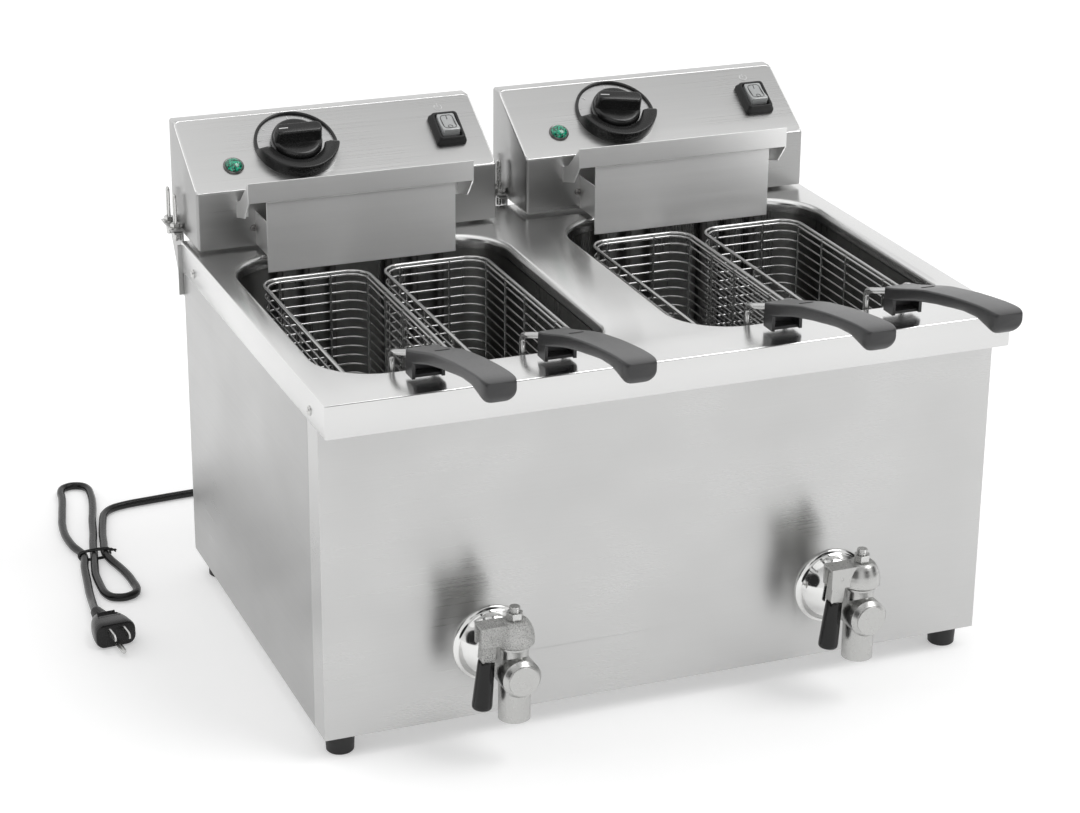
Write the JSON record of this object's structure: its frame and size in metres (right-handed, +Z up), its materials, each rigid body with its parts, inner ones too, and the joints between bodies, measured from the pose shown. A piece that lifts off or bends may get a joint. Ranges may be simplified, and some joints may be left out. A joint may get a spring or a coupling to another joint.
{
  "type": "deep fryer",
  "caption": "Countertop electric deep fryer with twin steel tanks, wire baskets with long grips, lift-out control heads and front drain taps.",
  "frame": {"origin": "on the floor, under the centre of the fryer's plan (grip tips to the backs of the heads, cord left out)", "axes": "+X to the fryer's right seen from its front, +Y to the back, +Z up; the taps and grips face -Y"},
  "size_m": [0.7212, 0.7762, 0.4203],
  "materials": {
    "panel_steel": "brushed",
    "deck_steel": "fine brushed, bright",
    "tank_steel": "brushed, slightly darkened",
    "chrome_wire": "bright wire",
    "tap_chrome": "polished plate",
    "cast_metal": "grainy cast",
    "nut_steel": "bright",
    "tap_handle_plastic": "gloss black",
    "grip_plastic": "satin dark grey",
    "bezel_plastic": "satin black ring round a silver dial",
    "knob_plastic": "satin black",
    "boot_rubber": "matt black",
    "rocker_plastic": "pale translucent",
    "lamp_lens": "clear green dome",
    "element_steel": "dull sheathed tube",
    "thermostat_body": "plain",
    "foot_rubber": "matt black",
    "cord_pvc": "satin black",
    "plug_pvc": "satin black, metal pins"
  },
  "bodies": {
    "cabinet": {"front_panel": "panel_steel", "left_side_panel": "panel_steel", "right_side_panel": "panel_steel", "back_panel": "panel_steel", "base_panel": "panel_steel", "deck": "deck_steel", "left_tank": "tank_steel", "right_tank": "tank_steel", "feet": "foot_rubber", "cabinet_screws": "nut_steel", "head_brackets": "panel_steel", "drain_pipes": "tank_steel", "tap_flanges": "tap_chrome", "left_tap_body": "tap_chrome", "right_tap_body": "tap_chrome", "tap_caps": "tap_chrome", "cord_gland": "cord_pvc", "power_cord": "cord_pvc", "cord_plug": "plug_pvc", "cord_tie": "cord_pvc"},
    "left_head": {"left_head_shell": "panel_steel", "left_head_cover": "panel_steel", "left_basket_hanger": "panel_steel", "left_guard_plate": "panel_steel", "left_dial_bezel": "bezel_plastic", "left_switch_boot": "boot_rubber", "left_pilot_lamp": "lamp_lens", "left_thermostat": "thermostat_body", "left_heating_element": "element_steel", "left_wing_screws": "nut_steel"},
    "left_knob": {"left_knob": "knob_plastic"},
    "left_rocker": {"left_rocker": "rocker_plastic"},
    "left_tap_valve": {"left_tap_stem": "tap_chrome", "left_tap_lever": "cast_metal", "left_tap_nut": "nut_steel"},
    "left_tap_handle": {"left_tap_handle": "tap_handle_plastic"},
    "right_head": {"right_head_shell": "panel_steel", "right_head_cover": "panel_steel", "right_basket_hanger": "panel_steel", "right_guard_plate": "panel_steel", "right_dial_bezel": "bezel_plastic", "right_switch_boot": "boot_rubber", "right_pilot_lamp": "lamp_lens", "right_thermostat": "thermostat_body", "right_heating_element": "element_steel", "right_wing_screws": "nut_steel"},
    "right_knob": {"right_knob": "knob_plastic"},
    "right_rocker": {"right_rocker": "rocker_plastic"},
    "right_tap_valve": {"right_tap_stem": "tap_chrome", "right_tap_lever": "cast_metal", "right_tap_nut": "nut_steel"},
    "right_tap_handle": {"right_tap_handle": "tap_handle_plastic"},
    "basket_1": {"basket_1": "chrome_wire", "grip_1": "grip_plastic"},
    "basket_2": {"basket_2": "chrome_wire", "grip_2": "grip_plastic"},
    "basket_3": {"basket_3": "chrome_wire", "grip_3": "grip_plastic"},
    "basket_4": {"basket_4": "chrome_wire", "grip_4": "grip_plastic"}
  },
  "joints": [
    {"name": "left_head_lift", "type": "slide", "parent": "cabinet", "child": "left_head", "axis": [0, 0, 1], "range_m": [0, 0.2]},
    {"name": "left_knob_turn", "type": "hinge", "parent": "left_head", "child": "left_knob", "pos_m": [-0.189, 0.24681, 0.40076], "axis": [0, 0.5331, -0.846], "range_deg": [0, 270]},
    {"name": "left_rocker_tilt", "type": "hinge", "parent": "left_head", "child": "left_rocker", "pos_m": [-0.048, 0.24969, 0.3943], "axis": [1, 0, 0], "range_deg": [0, 16]},
    {"name": "left_tap_turn", "type": "hinge", "parent": "cabinet", "child": "left_tap_valve", "pos_m": [-0.1525, -0.193, 0.083], "axis": [0, 0, 1], "range_deg": [0, 90]},
    {"name": "left_tap_handle_fold", "type": "hinge", "parent": "left_tap_valve", "child": "left_tap_handle", "pos_m": [-0.174, -0.193, 0.118], "axis": [0, 1, 0], "range_deg": [0, 90]},
    {"name": "right_head_lift", "type": "slide", "parent": "cabinet", "child": "right_head", "axis": [0, 0, 1], "range_m": [0, 0.2]},
    {"name": "right_knob_turn", "type": "hinge", "parent": "right_head", "child": "right_knob", "pos_m": [0.116, 0.24681, 0.40076], "axis": [0, 0.5331, -0.846], "range_deg": [-10, 260]},
    {"name": "right_rocker_tilt", "type": "hinge", "parent": "right_head", "child": "right_rocker", "pos_m": [0.257, 0.24969, 0.3943], "axis": [1, 0, 0], "range_deg": [0, 16]},
    {"name": "right_tap_turn", "type": "hinge", "parent": "cabinet", "child": "right_tap_valve", "pos_m": [0.1525, -0.193, 0.083], "axis": [0, 0, 1], "range_deg": [0, 90]},
    {"name": "right_tap_handle_fold", "type": "hinge", "parent": "right_tap_valve", "child": "right_tap_handle", "pos_m": [0.131, -0.193, 0.118], "axis": [0, 1, 0], "range_deg": [0, 90]},
    {"name": "basket_1_lift", "type": "slide", "parent": "left_head", "child": "basket_1", "axis": [0, 0, 1], "range_m": [0, 0.2]},
    {"name": "basket_2_lift", "type": "slide", "parent": "left_head", "child": "basket_2", "axis": [0, 0, 1], "range_m": [0, 0.2]},
    {"name": "basket_3_lift", "type": "slide", "parent": "right_head", "child": "basket_3", "axis": [0, 0, 1], "range_m": [0, 0.2]},
    {"name": "basket_4_lift", "type": "slide", "parent": "right_head", "child": "basket_4", "axis": [0, 0, 1], "range_m": [0, 0.2]}
  ],
  "couplings": [
    {"joint": "left_tap_handle_fold", "follows": "left_tap_turn", "ratio": 1},
    {"joint": "right_tap_handle_fold", "follows": "right_tap_turn", "ratio": 1}
  ]
}
